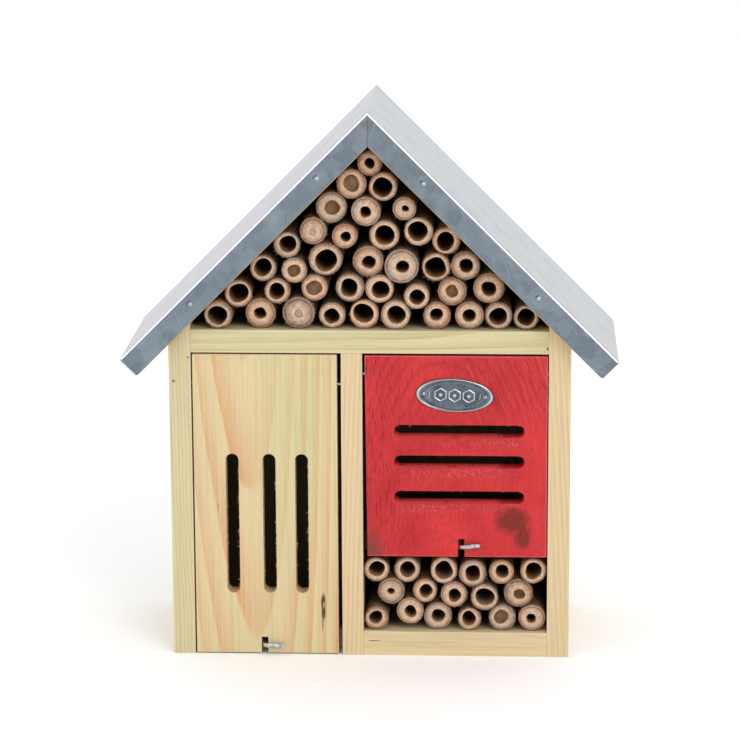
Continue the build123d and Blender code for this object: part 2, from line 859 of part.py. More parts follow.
# ---------------------------------------------------------------------- hooks
def square_hook(x, z, tilt):
    """A bent wire: a pointed shank into the wood, and an arm across the door's notch."""
    with BuildPart() as hook:
        with BuildLine():
            FilletPolyline(
                (0, hook_end_y - hook_point, 0),
                (0, arm_y, 0),
                (hook_arm, arm_y, 0),
                radius=hook_bend_radius,
            )
        with BuildSketch(Plane.XZ.offset(-(hook_end_y - hook_point))):
            Circle(hook_wire / 2)
        sweep()
        arm_end = hook.faces().sort_by(Axis.X)[-1]
        chamfer(arm_end.edges(), length=hook_end_ease)
        with BuildSketch(Plane.XZ.offset(-(hook_end_y - hook_point))):
            Circle(hook_wire / 2)
        extrude(amount=-hook_point, taper=hook_point_taper)
    return hook.part.moved(Location((x, 0, z), (0, -tilt, 0)))


left_hook = square_hook(left_hook_x, left_hook_height, 0)
finish(left_hook, "left_hook")
red_hook = square_hook(red_hook_x, red_hook_height, red_hook_tilt)
finish(red_hook, "red_hook")

# --------------------------------------------------------------- hanger plate
with BuildPart() as hanger_plate:
    with BuildSketch(Plane.XZ.offset(-back)):
        with Locations((0, hanger_height)):
            SlotOverall(hanger_length, hanger_width, rotation=90)
        with Locations((0, hanger_height - keyslot_rise / 2)):
            Circle(keyhole_diameter / 2, mode=Mode.SUBTRACT)
        with Locations((0, hanger_height)):
            SlotCenterToCenter(keyslot_rise, keyslot_width, rotation=90, mode=Mode.SUBTRACT)
    extrude(amount=-hanger_thickness)
    cut_nails(hanger_screw_places, hanger_screw)
finish(hanger_plate.part, "hanger_plate")

# ---------------------------------------------------------------------- canes
for number, pile in enumerate(drop_canes(gable_courses, 0, lintel_top, under_the_roof), 1):
    finish(cane_bundle(pile), f"gable_canes_course_{number}")

# The lower bay's canes are grouped from left to right, a third of them in each node.
lower_piles = drop_canes(lower_courses, divider_right, right_floor_thickness, in_the_lower_bay)
lower_canes = sorted(sum(lower_piles, []))
for number, side in enumerate(("left", "middle", "right")):
    first = len(lower_canes) * number // 3
    last = len(lower_canes) * (number + 1) // 3
    finish(cane_bundle(lower_canes[first:last]), f"lower_canes_{side}")
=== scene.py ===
"""Insect hotel: its finishes, and the pieces that need more shape than the frame gives them."""

import json
import math

import bpy
import numpy as np
from mathutils import Matrix, Vector


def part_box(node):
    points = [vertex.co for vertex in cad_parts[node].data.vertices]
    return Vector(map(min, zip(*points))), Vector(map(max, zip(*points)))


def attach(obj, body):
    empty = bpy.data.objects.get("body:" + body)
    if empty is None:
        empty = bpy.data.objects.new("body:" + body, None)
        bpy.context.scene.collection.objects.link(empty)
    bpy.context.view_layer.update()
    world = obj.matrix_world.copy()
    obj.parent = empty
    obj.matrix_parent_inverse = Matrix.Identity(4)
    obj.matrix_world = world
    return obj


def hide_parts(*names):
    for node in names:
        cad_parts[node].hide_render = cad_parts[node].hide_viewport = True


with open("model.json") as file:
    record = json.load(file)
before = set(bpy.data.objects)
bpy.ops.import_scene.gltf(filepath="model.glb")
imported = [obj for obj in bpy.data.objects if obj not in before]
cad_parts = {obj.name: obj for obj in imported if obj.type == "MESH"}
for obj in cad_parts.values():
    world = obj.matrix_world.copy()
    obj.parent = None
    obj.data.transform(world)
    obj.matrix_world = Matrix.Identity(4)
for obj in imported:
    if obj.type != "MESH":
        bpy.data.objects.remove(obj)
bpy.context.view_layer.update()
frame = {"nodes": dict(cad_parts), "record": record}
nodes = frame["nodes"]
MM = 0.001
FULL_TURN = 2 * math.pi


# ------------------------------------------------------------------ finishes
def paint(code):
    """A colour from its six-digit display code, as the linear values that a shader takes."""
    display = np.array([int(code[i : i + 2], 16) for i in (0, 2, 4)]) / 255
    linear = np.where(display > 0.04045, ((display + 0.055) / 1.055) ** 2.4, display / 12.92)
    return (*linear.tolist(), 1.0)


class Wire:
    """An output of a node in a finish. Arithmetic on it adds Math nodes."""

    def __init__(self, finish, socket):
        self.finish = finish
        self.socket = socket

    def math(self, operation, *values):
        return self.finish.node("ShaderNodeMath", {"operation": operation}, dict(enumerate(values)))

    def __add__(self, other):
        return self.math("ADD", self, other)

    __radd__ = __add__

    def __sub__(self, other):
        return self.math("SUBTRACT", self, other)

    def __rsub__(self, other):
        return self.math("SUBTRACT", other, self)

    def __mul__(self, other):
        return self.math("MULTIPLY", self, other)

    __rmul__ = __mul__

    def __truediv__(self, other):
        return self.math("DIVIDE", self, other)

    def __pow__(self, other):
        return self.math("POWER", self, other)

    def __abs__(self):
        return self.math("ABSOLUTE", self)

    def least(self, other):
        return self.math("MINIMUM", self, other)

    def most(self, other):
        return self.math("MAXIMUM", self, other)

    def fraction(self):
        return self.math("FRACT", self)

    def within(self):
        """The value kept between 0 and 1."""
        return self.math("MINIMUM", self.math("MAXIMUM", self, 0.0), 1.0)


class Finish:
    """A material: one shader and the nodes that feed it. Lengths inside it are millimetres."""

    def __init__(self, name, **constants):
        self.material = bpy.data.materials.new(name)
        self.material.use_nodes = True
        self.tree = self.material.node_tree
        self.shader = self.tree.nodes["Principled BSDF"]
        for socket, value in constants.items():
            self.shader.inputs[socket.replace("_", " ")].default_value = value

    def put(self, socket, value):
        """Links a wire to a socket, or sets the socket's own value."""
        if isinstance(value, Wire):
            self.tree.links.new(value.socket, socket)
        else:
            socket.default_value = value

    def node(self, kind, settings=None, sockets=None, output=0):
        """Adds a node: its settings are set first, then its sockets get values or links."""
        made = self.tree.nodes.new(kind)
        for name, value in (settings or {}).items():
            if name == "stops":
                ramp = made.color_ramp.elements
                while len(ramp) < len(value):
                    ramp.new(0.5)
                for element, (position, level) in zip(ramp, value):
                    element.position = position
                    element.color = (level, level, level, 1.0)
            else:
                setattr(made, name, value)
        for name, value in (sockets or {}).items():
            self.put(made.inputs[name], value)
        return Wire(self, made.outputs[output])

    def place(self):
        """Where a point is, in millimetres."""
        metres = self.node("ShaderNodeTexCoord", output="Object")
        return self.stretch(metres, (1000.0, 1000.0, 1000.0))

    def stretch(self, vector, factors):
        """A vector multiplied by one factor for each axis."""
        return self.node("ShaderNodeVectorMath", {"operation": "MULTIPLY"}, {0: vector, 1: factors})

    def turned(self, vector, angles):
        """A vector turned about the origin, by radians about each axis."""
        return self.node("ShaderNodeMapping", {}, {"Vector": vector, "Rotation": angles})

    def parts(self, vector):
        """A vector's x, y and z."""
        split = self.node("ShaderNodeSeparateXYZ", {}, {"Vector": vector})
        outputs = split.socket.node.outputs
        return [Wire(self, outputs[axis]) for axis in range(3)]

    def sized(self, vector, grain):
        """A vector for a pattern whose lumps have a size: one number, or one for each axis."""
        sizes = grain if isinstance(grain, tuple) else (grain, grain, grain)
        return self.stretch(vector, tuple(1.0 / size for size in sizes))

    def noise(self, vector, grain, detail=2.0, rough=0.5):
        """Smooth noise from 0 to 1."""
        sockets = {"Vector": self.sized(vector, grain), "Scale": 1.0, "Detail": detail, "Roughness": rough}
        return self.node("ShaderNodeTexNoise", {}, sockets)

    def cells(self, vector, grain, feature="F1", output="Distance"):
        """Cells round scattered points, such as crystals or the bundles of fibre in a cane."""
        sockets = {"Vector": self.sized(vector, grain), "Scale": 1.0}
        return self.node("ShaderNodeTexVoronoi", {"feature": feature}, sockets, output)

    def ramp(self, value, *stops):
        """A value carried through straight lines between (position, level) stops."""
        return self.node("ShaderNodeValToRGB", {"stops": stops}, {"Fac": value})

    def attribute(self, name):
        """A number that the mesh keeps at each of its points."""
        return self.node("ShaderNodeAttribute", {"attribute_name": name}, output="Fac")

    def mix(self, amount, first, second):
        """A colour between two colours."""
        settings = {"data_type": "RGBA", "clamp_factor": True}
        return self.node("ShaderNodeMix", settings, {0: amount, 6: first, 7: second}, output=2)

    def shade(self, colour, level):
        """A colour made lighter or darker by a factor."""
        grey = self.node("ShaderNodeCombineXYZ", {}, {0: level, 1: level, 2: level})
        return self.node("ShaderNodeVectorMath", {"operation": "MULTIPLY"}, {0: colour, 1: grey})

    def relief(self, height, depth):
        """Bump: height from 0 to 1 stands for a depth in millimetres."""
        sockets = {"Strength": 1.0, "Distance": depth * MM, "Height": height}
        self.put(self.shader.inputs["Normal"], self.node("ShaderNodeBump", {}, sockets))

    def coat(self, colour, roughness):
        """Feeds the shader its colour and roughness."""
        self.put(self.shader.inputs["Base Color"], colour)
        self.put(self.shader.inputs["Roughness"], roughness)


def spot(finish, place, centre, size, edge, softness=0.35):
    """1 inside an egg shape round a centre and 0 outside; edge, from 0 to 1, makes it ragged."""
    offset = finish.node("ShaderNodeVectorMath", {"operation": "SUBTRACT"}, {0: place, 1: centre})
    scaled = finish.stretch(offset, tuple(1.0 / s for s in size))
    far = finish.node("ShaderNodeVectorMath", {"operation": "LENGTH"}, {0: scaled}, "Value")
    return ((1.0 - far + (edge - 0.5)) / softness).within()


def arris(finish, place, low, high, width):
    """1 on the edges of a board, falling to 0 at a distance from them: the middle one of the
    distances to the board's three nearest faces. Also returns those distances, by axis."""
    gaps = []
    for axis, where in enumerate(finish.parts(place)):
        gaps.append((where - low[axis]).least(high[axis] - where))
    least = gaps[0].least(gaps[1]).least(gaps[2])
    most = gaps[0].most(gaps[1]).most(gaps[2])
    middle = gaps[0] + gaps[1] + gaps[2] - least - most
    return (1.0 - middle / width).within(), gaps


# Each wood: pale early wood, darker late wood, and the tints of its sap, worn edges and ends.
PINE = {"pale": "CDC09C", "late": "B79D6E", "sap": "BBBF8D", "edge": "D9D0B2", "end": "A88F5E"}
WARM_PINE = {"pale": "D4BF9A", "late": "BE9B6B", "sap": "C4BA8E", "edge": "DBCDAE", "end": "AC8E5E"}
DOOR_PINE = {"pale": "CEBF95", "late": "C9976A", "sap": "BFBE8D", "edge": "DACFAA", "end": "AC8D5A"}
ROOF_PINE = {"pale": "C2AD80", "late": "A88453", "sap": "B5A976", "edge": "CDBB90", "end": "9C7C4A"}
PLYWOOD = {"pale": "BEA67A", "late": "A88556", "sap": "B5A074", "edge": "C8B288", "end": "8C704A"}


# How far worn edges and end grain reach, how fast rings narrow outwards, and a year's darkening.
WORN_EDGE = 0.9
END_GRAIN = 0.45
RING_CROWDING = 0.008
RING_RAMP = ((0.0, 0.0), (0.35, 0.18), (0.8, 0.8), (0.93, 1.0), (1.0, 0.0))


def timber(
    name, node, along, pith, lean, tones, ring=4.0, contrast=0.7, marks=(), wave=4.0, sheltered=True
):
    """Planed softwood. Growth rings are circles round a leaning pith line that lies beside the
    board; fibres and streaks are drawn out along it. Edges are paler and end grain is darker.
    pith and lean give, across the board's other two axes, the line's place and slope; ring is
    the width of a year's growth, and wave how far the line wanders."""
    finish = Finish(name, Specular_IOR_Level=0.35)
    place = finish.place()
    low, high = (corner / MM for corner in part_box(node))
    middle = (low + high) / 2
    where = finish.parts(place)
    length = where[along] - middle[along]
    across = [axis for axis in range(3) if axis != along]

    def drawn(size, reach):
        return tuple(reach if axis == along else size for axis in range(3))

    wander = finish.noise(place, drawn(20.0, 110.0), detail=1.0) - 0.5
    offsets = []
    for axis, start, slope in zip(across, pith, lean):
        offsets.append(where[axis] - (middle[axis] + start) + length * slope + wander * wave)
    radius = (offsets[0] * offsets[0] + offsets[1] * offsets[1]) ** 0.5
    turns = radius * (1.0 + radius * RING_CROWDING) / ring
    rings = finish.ramp(turns.fraction(), *RING_RAMP)
    season = finish.noise(place, drawn(13.0, 400.0), detail=0.0)
    streak = finish.noise(place, drawn(1.1, 70.0), detail=3.0, rough=0.6)
    fibre = finish.noise(place, drawn(0.28, 11.0), detail=2.0, rough=0.6)
    patch = finish.noise(place, drawn(26.0, 120.0), detail=1.0)

    late = rings * (season * 1.3 + 0.1).within() * contrast
    colour = finish.mix(late, paint(tones["pale"]), paint(tones["late"]))
    colour = finish.mix((patch * 2.4 - 0.85).within() * 0.55, colour, paint(tones["sap"]))
    colour = finish.mix((streak * 3.2 - 1.45).within() * 0.4, colour, paint(tones["late"]))
    edges, gaps = arris(finish, place, low, high, WORN_EDGE)
    colour = finish.mix(edges * 0.5 * (streak + 0.3), colour, paint(tones["edge"]))
    ends = (1.0 - gaps[along] / END_GRAIN).within()
    colour = finish.mix(ends * 0.55, colour, paint(tones["end"]))
    ragged = finish.noise(place, drawn(0.8, 3.0), detail=2.0)
    for centre, size, code, strength in marks:
        colour = finish.mix(spot(finish, place, centre, size, ragged) * strength, colour, paint(code))
    level = 0.58 + streak * 0.65 + fibre * 0.2
    # Faces in the compartments get painted shade.
    if sheltered:
        level = level * (1.0 - sheltered_side(where) * 0.7)
    finish.coat(finish.shade(colour, level), 0.56 + fibre * 0.16 - late * 0.1 + ends * 0.15)
    finish.relief(fibre * 0.45 + streak * 0.35 - rings * 0.25, 0.2)
    return finish


# The compartments' half width, front and back; the length over which painted shade deepens;
# and the slope of a mask that ends sharply.
INSIDE_HALF_WIDTH = 89.06
INSIDE_FRONT = -33.0
INSIDE_BACK = 42.04
SHADE_FADE = 9.0
SHARP = 50.0


def sheltered_side(where):
    """1 on the faces that look into the compartments, which are painted darker as shade, and 0 outside."""
    depth = ((where[1] - INSIDE_FRONT) / SHADE_FADE).within()
    between = ((INSIDE_HALF_WIDTH - abs(where[0])) * SHARP).within()
    ahead = ((INSIDE_BACK - where[1]) * SHARP).within()
    above = ((where[2] - 0.2) * SHARP).within()
    return depth * between * ahead * above


def slot_boxes(prefix):
    """The stated slots of a door, in millimetres, as (low, high) corners."""
    found = [o for o in frame["record"]["physics"]["openings"] if o["name"].startswith(prefix)]
    return [np.array(o["box_m"]) / MM for o in found]


def red_wear_at_slots(finish, place, colour, cloud, face):
    """Torn wood below each slot of the red door, and painted light on the lower wall of each cut.
    cloud is the door's slow noise, and face the depth of its front."""
    where = finish.parts(place)
    torn_noise = finish.noise(place, (1.4, 0.9, 1.1), detail=4.0, rough=0.75)
    rough = (torn_noise * 6.0 - 3.0).within()
    shadow = (finish.noise(place, (9.0, 9.0, 60.0), detail=1.0) * 7.0 - 4.1).within()
    inside_cut = ((where[1] - face - 0.15) / 0.5).within()
    for low, high in slot_boxes("red_door_slot"):
        below = (low[2] - where[2]) / 7.0
        span = ((where[0] - low[0] + 3.0) / 4.0).within() * ((high[0] + 3.0 - where[0]) / 4.0).within()
        torn = (1.0 - abs(below * 2.0 - 0.75)).within() * (cloud * 3.4 - 1.1).within() * span
        colour = finish.mix(torn * rough * 0.5, colour, paint("D98A7E"))
        colour = finish.mix(torn * (1.0 - rough) * 0.3, colour, paint("7E2228"))
        under = ((low[2] + 1.4 - where[2]) / 0.8).within()
        lip = under * ((where[2] - low[2] + 2.0) * 4.0).within()
        # Painted light on the lower wall of the cut, broken by noise and fading at its right end.
        painted_lip_light = ((high[0] - 7.0 - where[0]) / 5.0).within() * (1.25 - shadow)
        colour = finish.mix((lip * painted_lip_light * inside_cut).within(), colour, paint("F2555A"))
    return colour


def red_stains(finish, place, colour, low, high):
    """Brown patches in the lower corners of the red door, whose box runs from low to high."""
    ragged = finish.noise(place, (3.0, 3.0, 4.0), detail=3.0, rough=0.7)
    right, left, face, foot = high[0], low[0], low[1], low[2]
    patch = spot(finish, place, (right - 17.0, face, foot + 19.0), (10.5, 20.0, 8.5), ragged, 0.45)
    trail = spot(finish, place, (right - 12.0, face, foot + 11.0), (5.0, 20.0, 8.0), ragged, 0.45)
    colour = finish.mix(patch.most(trail) * 0.85, colour, paint("6C2219"))
    corner = spot(finish, place, (left + 3.5, face, foot + 4.0), (8.5, 20.0, 12.0), ragged, 0.9)
    return finish.mix(corner * 0.8, colour, paint("6C3A37"))


def red_stain():
    """Thin red stain, brushed along the grain of a pine board and rubbed pale on its edges."""
    finish = Finish("red_stain", Specular_IOR_Level=0.25)
    place = finish.place()
    low, high = (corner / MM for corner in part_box("red_door"))
    where = finish.parts(place)
    edges, _ = arris(finish, place, low, high, 1.0)
    wander = finish.noise(place, (22.0, 22.0, 60.0), detail=1.5) - 0.5
    sideways = where[0] - (low[0] * 0.58 + high[0] * 0.42) + wander * 16.0
    inwards = where[1] * 0.3 + (where[2] - low[2]) * 0.42 + 6.0
    radius = (sideways * sideways + inwards * inwards) ** 0.5
    rings = finish.ramp((radius / 3.6).fraction(), (0.0, 0.0), (0.5, 0.2), (0.85, 1.0), (1.0, 0.0))
    season = finish.noise(place, (16.0, 16.0, 60.0), detail=0.0)
    brush = finish.noise(place, (0.9, 0.9, 24.0), detail=4.0, rough=0.65)
    fibre = finish.noise(place, (0.3, 0.3, 7.0), detail=2.0, rough=0.6)
    cloud = finish.noise(place, (24.0, 24.0, 30.0), detail=2.0)
    fleck = finish.noise(place, (0.7, 0.7, 1.6), detail=2.0, rough=0.7)
    tooth = finish.noise(place, (0.9, 0.9, 2.4), detail=3.0, rough=0.75)
    crack = finish.noise(place, (0.5, 4.0, 7.0), detail=1.0)

    across = (where[0] - low[0]) / (high[0] - low[0])
    left_part = (1.15 - across * 2.4).within()
    leaning = finish.turned(place, (0.0, math.radians(24.0), 0.0))
    diagonal = finish.noise(leaning, (0.8, 3.0, 17.0), detail=3.0, rough=0.6)
    right_part = (across * 4.0 - 1.4).within() * ((where[2] - 118.0) / 14.0).within()

    colour = finish.mix((cloud * 2.4 - 0.7).within(), paint("B32429"), paint("CC3234"))
    plain = ((where[2] - 106.0) / 26.0).within() * 0.75 + 0.25
    colour = finish.mix(rings * (0.25 + season) * plain * 0.5, colour, paint("92191F"))
    strokes = (brush * 5.0 - 2.75).within() * (0.35 + left_part * 0.65)
    colour = finish.mix(strokes, colour, paint("701219"))
    colour = finish.mix((brush * -6.0 + 2.35).within() * 0.55, colour, paint("DB5C57"))
    colour = finish.mix((diagonal * 8.0 - 4.2).within() * right_part * 0.75, colour, paint("8C1A20"))
    colour = finish.mix((diagonal * -8.0 + 3.5).within() * right_part * 0.3, colour, paint("E06E66"))
    colour = finish.mix((fleck * 9.0 - 6.2).within() * 0.75, colour, paint("E7958C"))
    colour = finish.mix((fleck * -9.0 + 2.8).within() * 0.7, colour, paint("5E1016"))
    colour = finish.mix((crack * 14.0 - 9.0).within() * left_part * 0.85, colour, paint("4A0D12"))
    colour = red_wear_at_slots(finish, place, colour, cloud, low[1])
    colour = red_stains(finish, place, colour, low, high)
    rubbed = (edges * (0.35 + fleck) * 1.3 - 0.3).within()
    colour = finish.mix(rubbed * 0.75, colour, paint("DE7F77"))
    colour = finish.shade(colour, 0.2 + fibre * 0.24 + brush * 0.56 + tooth * 0.76)
    finish.coat(colour, 0.42 + brush * 0.2 + rubbed * 0.2)
    finish.relief(brush * 0.5 + fibre * 0.4 + tooth * 0.3 - rings * 0.2, 0.34)
    return finish


def handling_scratches(finish, place):
    """1 on fine straight scratches, which run four ways and gather in places."""
    scratches = None
    for number, angle in enumerate((0.35, 1.25, 2.1, 2.75)):
        turned = finish.turned(place, (0.0, angle, 0.2 * number))
        line = finish.noise(turned, (0.35, 9.0, 16.0 + 3.0 * number), detail=1.0)
        here = finish.noise(turned, (22.0, 30.0, 26.0), detail=1.0)
        mark_here = (line * 26.0 - 18.6).within() * (here * 6.0 - 3.2).within()
        scratches = mark_here if scratches is None else scratches.most(mark_here)
    return scratches


# How far from the middle the flanges' faces and the painted shade at the turn of the sheet begin,
# the width of the painted highlight along the bend, and the front face where painted shadows lie beside the
# nails.
FLANGE_FACE = 49.3
SHEET_TURN = 46.0
FOLD_HIGHLIGHT_WIDTH = 0.8
NAIL_FACE = -50.0


def galvanised():
    """Hot-dipped sheet: crystals of zinc, handling scratches and faint dents. The flanges, at the
    front and back, are painted greyer than the top, as shade, with a painted highlight along their
    bend; painted shade lies on the top where it turns, and painted shadows beside the front nails."""
    finish = Finish("galvanised_sheet", Metallic=1.0)
    place = finish.place()
    crystal = finish.cells(place, 7.0, output="Color")
    tint = finish.parts(crystal)[0]
    boundary = finish.cells(place, 7.0, "DISTANCE_TO_EDGE")
    mottle = finish.noise(place, 14.0, detail=4.0, rough=0.6)
    speck = finish.noise(place, 0.8, detail=2.0, rough=0.7)
    scratches = handling_scratches(finish, place)
    bloom = (mottle * 3.0 - 1.45).within()
    where = finish.parts(place)
    depth = abs(where[1])
    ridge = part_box("roof_sheet")[1][2] / MM
    below_fold = (ridge - 0.3 - abs(where[0]) - where[2]) * math.sqrt(0.5)
    flange = ((depth - FLANGE_FACE) / 0.35).within()
    # Painted light: the top is painted pale and the flanges greyer, as shade; the crystals tint the
    # flanges.
    flange_painted_shade = finish.mix(tint, paint("6C7780"), paint("7E8891"))
    colour = finish.mix(flange, paint("C5C8CC"), flange_painted_shade)
    # Painted shade on the top where the sheet turns down into a flange.
    painted_turn_shade = ((depth - SHEET_TURN) / 2.5).within() * (1.0 - flange)
    colour = finish.mix(painted_turn_shade * 0.45, colour, paint("6B7888"))
    colour = finish.mix(bloom * (0.2 + flange * 0.35), colour, paint("9DA6AD"))
    colour = finish.mix((speck * 8.0 - 5.2).within() * 0.5, colour, paint("C9CED2"))
    colour = finish.mix((speck * -8.0 + 2.5).within() * flange * 0.5, colour, paint("4A545D"))
    colour = finish.mix(scratches * 0.8, colour, paint("CDD2D6"))
    for nail in solids_in("front_sheet_nails"):
        # A painted shadow beside each nail, above it and to its left.
        x, _, z = (nail.min(axis=0) + nail.max(axis=0)) / 2
        painted_nail_shadow = spot(finish, place, (x - 0.55, NAIL_FACE, z + 0.6), (1.6, 6.0, 1.5), 0.5, 0.5)
        colour = finish.mix(painted_nail_shadow * flange * 0.8, colour, paint("39434C"))
    # A painted highlight along the bend at the top of each flange.
    painted_fold_highlight = ((FOLD_HIGHLIGHT_WIDTH - below_fold) / 0.3).within() * flange
    colour = finish.mix(painted_fold_highlight, colour, paint("F4F6F8"))
    finish.coat(colour, 0.33 + tint * 0.07 + bloom * 0.12 + speck * 0.08 + scratches * 0.1)
    dents = finish.noise(place, 38.0, detail=1.0)
    edge = (boundary * 6.0).within()
    finish.relief(dents + speck * 0.012 + edge * 0.006 - scratches * 0.02, 1.4)
    return finish


def bright_metal(name, code, worn, roughness, grain=1.2):
    """Plated or bright steel with rubbed spots and fine scratches."""
    finish = Finish(name, Metallic=1.0)
    place = finish.place()
    rubbed = finish.noise(place, grain * 3.0, detail=3.0, rough=0.65)
    line = finish.noise(finish.turned(place, (0.4, 0.3, 0.7)), (0.12, 2.5, 2.5), detail=1.0)
    pit = finish.noise(place, 0.25 * grain, detail=1.0)
    colour = finish.mix((rubbed * 3.0 - 1.2).within(), paint(code), paint(worn))
    colour = finish.shade(colour, 0.9 + line * 0.2)
    finish.coat(colour, roughness + rubbed * 0.15 + line * 0.08)
    finish.relief(pit * 0.5 + rubbed * 0.5 + line * 0.2, 0.06)
    return finish


def pressed_plate():
    """Polished plate with dark patina in its hollows; the relief attribute is 1 on raised work."""
    finish = Finish("plate_metal", Metallic=1.0)
    place = finish.place()
    raised = finish.attribute("relief")
    cloud = finish.noise(place, 5.0, detail=3.0, rough=0.6)
    line = finish.noise(finish.turned(place, (0.0, 0.5, 0.0)), (3.5, 1.0, 0.12), detail=1.0)
    colour = finish.mix((cloud * 2.4 - 0.7).within(), paint("3E464F"), paint("6C757E"))
    colour = finish.mix((raised * 1.5 - 0.25).within(), colour, paint("CFD3D7"))
    colour = finish.shade(colour, 0.88 + line * 0.2)
    finish.coat(colour, 0.1 + cloud * 0.12 + line * 0.06)
    finish.relief(cloud * 0.7 + line * 0.3, 0.05)
    return finish


def cane_finish():
    """Dry cane. zone is 0 on the skin, 1 on the sawn end and 2 in the bore; reach runs from the
    bore to the skin on the end, and down the bore; tone and warmth differ from cane to cane."""
    finish = Finish("bamboo", Specular_IOR_Level=0.3)
    place = finish.place()
    zone = finish.attribute("zone")
    reach = finish.attribute("reach")
    tone = finish.attribute("tone")
    warmth = finish.attribute("warmth")
    mottle = finish.noise(place, (2.2, 6.0, 2.2), detail=3.0, rough=0.6)
    bundles = finish.cells(place, (0.5, 4.0, 0.5))
    saw = finish.noise(finish.turned(place, (0.0, 0.5, 0.0)), (0.35, 2.0, 5.0), detail=2.0)
    grime = finish.noise(place, (4.5, 12.0, 4.5), detail=2.0)

    end = finish.mix(tone, paint("8A6A58"), paint("BC9B82"))
    end = finish.mix((warmth * 2.0 - 1.0).within() * 0.6, end, paint("BC8562"))
    end = finish.mix((1.0 - warmth * 3.0).within() * 0.65, end, paint("94877C"))
    dots = (1.0 - bundles * 2.6).within() * (0.25 + reach * 0.75)
    end = finish.mix(dots * 0.5, end, paint("6A4C38"))
    end = finish.mix((mottle * 2.6 - 1.0).within() * 0.35, end, paint("CDB299"))
    end = finish.mix((grime * 3.4 - 2.0).within() * 0.55, end, paint("7E563C"))
    bark = finish.ramp(reach, (0.0, 0.0), (0.66, 0.0), (0.79, 1.0), (0.86, 0.3), (1.0, 0.0))
    end = finish.mix(bark * (0.35 + grime * 0.9), end, paint("553A28"))
    rust = (finish.noise(place, (2.6, 9.0, 2.6), detail=3.0, rough=0.7) * 9.0 - 5.2).within()
    end = finish.mix(rust * (warmth * 3.0 - 1.4).within() * 0.75, end, paint("A85F2C"))
    flesh = finish.ramp(reach, (0.0, 1.0), (0.3, 0.9), (0.55, 0.25), (0.75, 0.0), (1.0, 0.0))
    end = finish.mix(flesh * (0.4 + mottle * 0.5), end, paint("D4B698"))

    length = finish.noise(place, (0.5, 26.0, 0.5), detail=3.0, rough=0.6)
    skin = finish.mix((length * 2.2 - 0.6).within(), paint("644A36"), paint("8C6F57"))
    skin = finish.mix((grime * 3.0 - 1.5).within() * 0.5, skin, paint("857767"))
    # Painted shade in the bore, darker the deeper it runs.
    painted_bore_shade = finish.ramp(reach, (0.0, 0.0), (0.16, 0.3), (0.5, 0.8), (1.0, 1.0))
    bore = finish.mix(painted_bore_shade, paint("AE8A68"), paint("54391F"))
    bore = finish.mix((grime * 3.0 - 1.2).within() * 0.5, bore, paint("6A4630"))
    bore = finish.mix((length * 2.4 - 1.0).within() * 0.35, bore, paint("5E4026"))
    colour = finish.mix(zone.within(), skin, end)
    colour = finish.mix((zone - 1.0).within(), colour, bore)
    grit = finish.noise(place, (0.95, 2.4, 0.95), detail=4.0, rough=0.75)
    rim = finish.ramp(reach, (0.0, 0.3), (0.8, 0.3), (0.93, 1.0), (1.0, 1.0))
    scuff = (grit * 7.0 - 4.1).within() * rim * (1.0 - abs(zone - 1.0)).within()
    colour = finish.mix(scuff * 0.75, colour, paint("D6BBA0"))
    colour = finish.shade(colour, (grit * 1.5 + mottle * 0.35 + saw * 0.25 - 0.06).most(0.3))
    finish.coat(colour, 0.66 + mottle * 0.16)
    finish.relief(mottle * 0.4 + saw * 0.35 - dots * 0.3 + length * 0.2 + grit * 0.4, 0.5)
    return finish


def fibre_finish(name, root, tip):
    """Torn wood fibre, paler towards its tip."""
    finish = Finish(name, Specular_IOR_Level=0.2)
    place = finish.place()
    patch = finish.noise(place, 1.5, detail=2.0)
    colour = finish.mix((finish.attribute("reach") * 0.8 + patch * 0.4).within(), paint(root), paint(tip))
    finish.coat(finish.shade(colour, 0.85 + patch * 0.25), 0.75 + patch * 0.1)
    finish.relief(finish.noise(place, 0.3, detail=1.0), 0.04)
    return finish


# -------------------------------------------------------------------- pieces
def make_piece(name, points, faces, finish, attributes=None):
    """A mesh from arrays in millimetres: points, lists of faces, and one value a point by name."""
    mesh = bpy.data.meshes.new(name)
    mesh.from_pydata((points * MM).tolist(), [], [face for group in faces for face in group.tolist()])
    mesh.polygons.foreach_set("use_smooth", np.ones(len(mesh.polygons), bool))
    for label, values in (attributes or {}).items():
        layer = mesh.attributes.new(label, "FLOAT", "POINT")
        layer.data.foreach_set("value", values.astype(np.float32))
    mesh.update()
    piece = bpy.data.objects.new(name, mesh)
    bpy.context.scene.collection.objects.link(piece)
    mesh.materials.append(finish.material)
    return piece


def capped_grid(rings, sides, start):
    """Faces of a closed skin: a fan from the first pole, bands of quads between rings of points,
    and a fan to the last pole. The poles are the points start and start + 1."""
    side = np.arange(sides)
    after = (side + 1) % sides
    base = start + 2
    row = base + np.arange(rings - 1)[:, None] * sides
    quads = np.stack([row + side, row + after, row + after + sides, row + side + sides], axis=-1)
    last = base + (rings - 1) * sides
    first_fan = np.stack([np.full(sides, start), base + after, base + side], axis=-1)
    last_fan = np.stack([np.full(sides, start + 1), last + side, last + after], axis=-1)
    return [quads.reshape(-1, 4), first_fan, last_fan]


def solids_in(node):
    """The points of each separate solid of a node, in millimetres. Points join a solid when
    they share a face, after points in the same place are taken as one."""
    mesh = nodes[node].data
    points = np.zeros(len(mesh.vertices) * 3)
    mesh.vertices.foreach_get("co", points)
    points = points.reshape(-1, 3) / MM
    corners = np.zeros(len(mesh.loops), int)
    mesh.loops.foreach_get("vertex_index", corners)
    _, same = np.unique(points.round(3), axis=0, return_inverse=True)
    triangles = same.reshape(-1)[corners.reshape(-1, 3)]
    label = np.arange(same.max() + 1)
    while True:
        least = label[triangles].min(axis=1)
        changed = label.copy()
        np.minimum.at(changed, triangles.reshape(-1), np.repeat(least, 3))
        changed = changed[changed]
        if (changed == label).all():
            break
        label = changed
    groups = label[same.reshape(-1)]
    return [points[groups == group] for group in np.unique(groups)]


